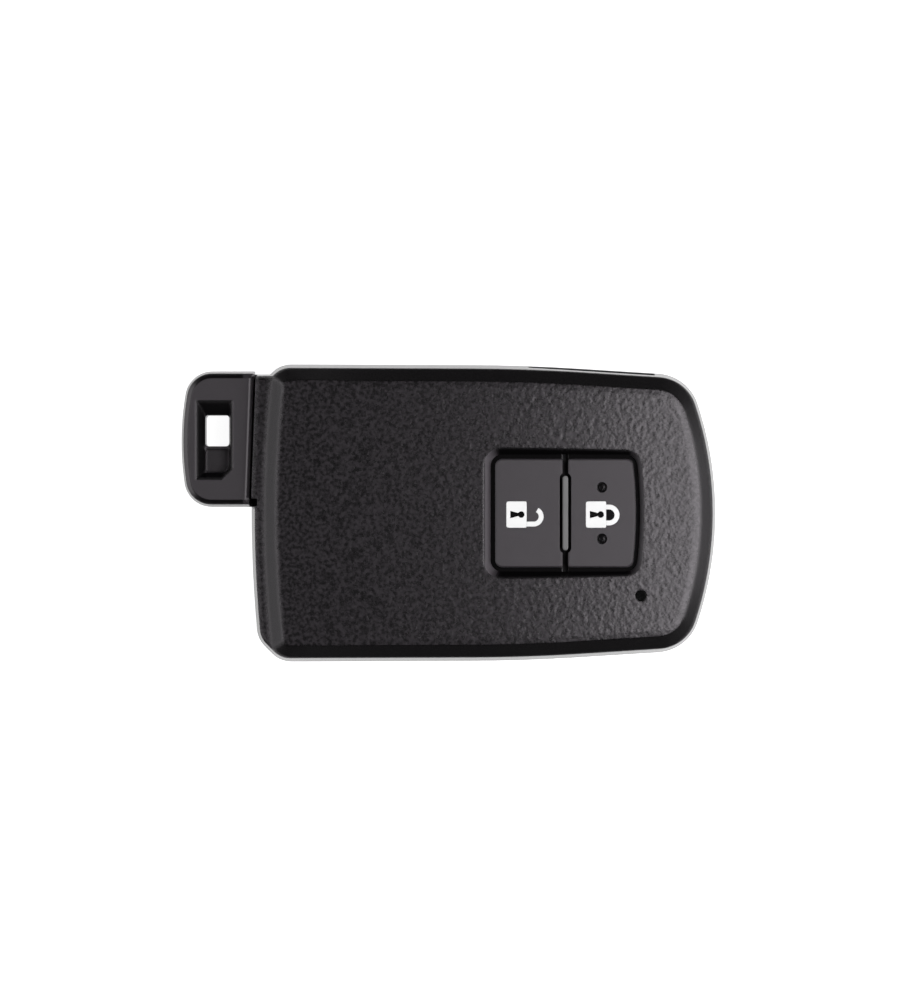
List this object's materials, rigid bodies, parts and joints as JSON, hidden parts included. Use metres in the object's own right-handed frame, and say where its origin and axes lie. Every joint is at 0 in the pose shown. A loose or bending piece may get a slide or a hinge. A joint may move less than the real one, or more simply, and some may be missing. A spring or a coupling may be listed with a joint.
{
  "type": "car key fob",
  "caption": "Flat plastic car key fob with lock and unlock push buttons, an indicator lamp and a pull-out emergency key whose head carries a key ring slot.",
  "frame": {"origin": "middle of the case on its flat back, on which the fob lies", "axes": "+X towards the button end, -X towards the key head; +Y towards the long side that the emergency key lies along; +Z out of the button face"},
  "size_m": [0.0742, 0.0414, 0.0129],
  "materials": {
    "cover_grain": "fine grain, satin bevels",
    "rear_grain": "fine grain",
    "clear_plastic": "clear, smoked by the depth of the hole",
    "silicone": "matt silicone",
    "keytop": "soft matt",
    "module_plastic": "matt",
    "solder_mask": "green solder mask over copper",
    "switch_plastic": "matt",
    "plunger_plastic": "ivory",
    "chip_resin": "moulded resin",
    "crystal_metal": "satin lid",
    "lamp_resin": "clear resin",
    "ceramic": "fired ceramic",
    "antenna_strip": "gold-plated strip",
    "antenna_plastic": "matt",
    "ferrite": "fired ferrite",
    "enamelled_wire": "enamelled copper",
    "holder_plastic": "matt",
    "contact_steel": "nickel-plated spring steel",
    "cell_steel": "polished",
    "cell_seal": "matt",
    "seal_rubber": "matt",
    "head_satin": "smooth satin",
    "blade_steel": "brushed nickel silver",
    "latch_plastic": "satin",
    "spring_steel": "drawn wire"
  },
  "bodies": {
    "rear_half": {"rear_cover": "rear_grain", "latch_spring": "spring_steel"},
    "front_half": {"front_cover": "cover_grain", "led_light_guide": "clear_plastic", "keypad_membrane": "silicone", "module_case": "module_plastic", "circuit_board": "solder_mask", "unlock_switch": "switch_plastic", "lock_switch": "switch_plastic", "microcontroller": "chip_resin", "rf_chip": "chip_resin", "crystal": "crystal_metal", "status_led": "lamp_resin", "chip_components": "ceramic", "uhf_antenna": "antenna_strip", "lf_antenna_base": "antenna_plastic", "lf_antenna_core": "ferrite", "lf_antenna_winding_x": "enamelled_wire", "lf_antenna_winding_y": "enamelled_wire", "lf_antenna_winding_z": "enamelled_wire", "battery_holder": "holder_plastic", "battery_contact_positive": "contact_steel", "battery_contact_negative": "contact_steel", "battery_can": "cell_steel", "battery_cap": "cell_steel", "battery_gasket": "cell_seal", "battery_cover": "holder_plastic", "battery_cover_seal": "seal_rubber"},
    "unlock_button": {"button_unlock": "keytop", "unlock_plunger": "plunger_plastic"},
    "lock_button": {"button_lock": "keytop", "lock_plunger": "plunger_plastic"},
    "emergency_key": {"key_head": "head_satin", "key_blade": "blade_steel"},
    "release_latch": {"release_latch": "latch_plastic"}
  },
  "joints": [
    {"name": "case_opening", "type": "slide", "parent": "rear_half", "child": "front_half", "axis": [0, 0, 1], "range_m": [0, 0.025]},
    {"name": "unlock_press", "type": "slide", "parent": "front_half", "child": "unlock_button", "axis": [0, 0, -1], "range_m": [0, 0.00035], "stiffness_N_per_m": 400, "springref_m": -0.001, "deforming": ["keypad_membrane"]},
    {"name": "lock_press", "type": "slide", "parent": "front_half", "child": "lock_button", "axis": [0, 0, -1], "range_m": [0, 0.00035], "stiffness_N_per_m": 400, "springref_m": -0.001, "deforming": ["keypad_membrane"]},
    {"name": "key_pull", "type": "slide", "parent": "rear_half", "child": "emergency_key", "axis": [-1, 0, 0], "range_m": [0, 0.054]},
    {"name": "latch_slide", "type": "slide", "parent": "rear_half", "child": "release_latch", "axis": [0, 1, 0], "range_m": [0, 0.0016], "stiffness_N_per_m": 100, "springref_m": 0.0045, "deforming": ["latch_spring"]}
  ]
}
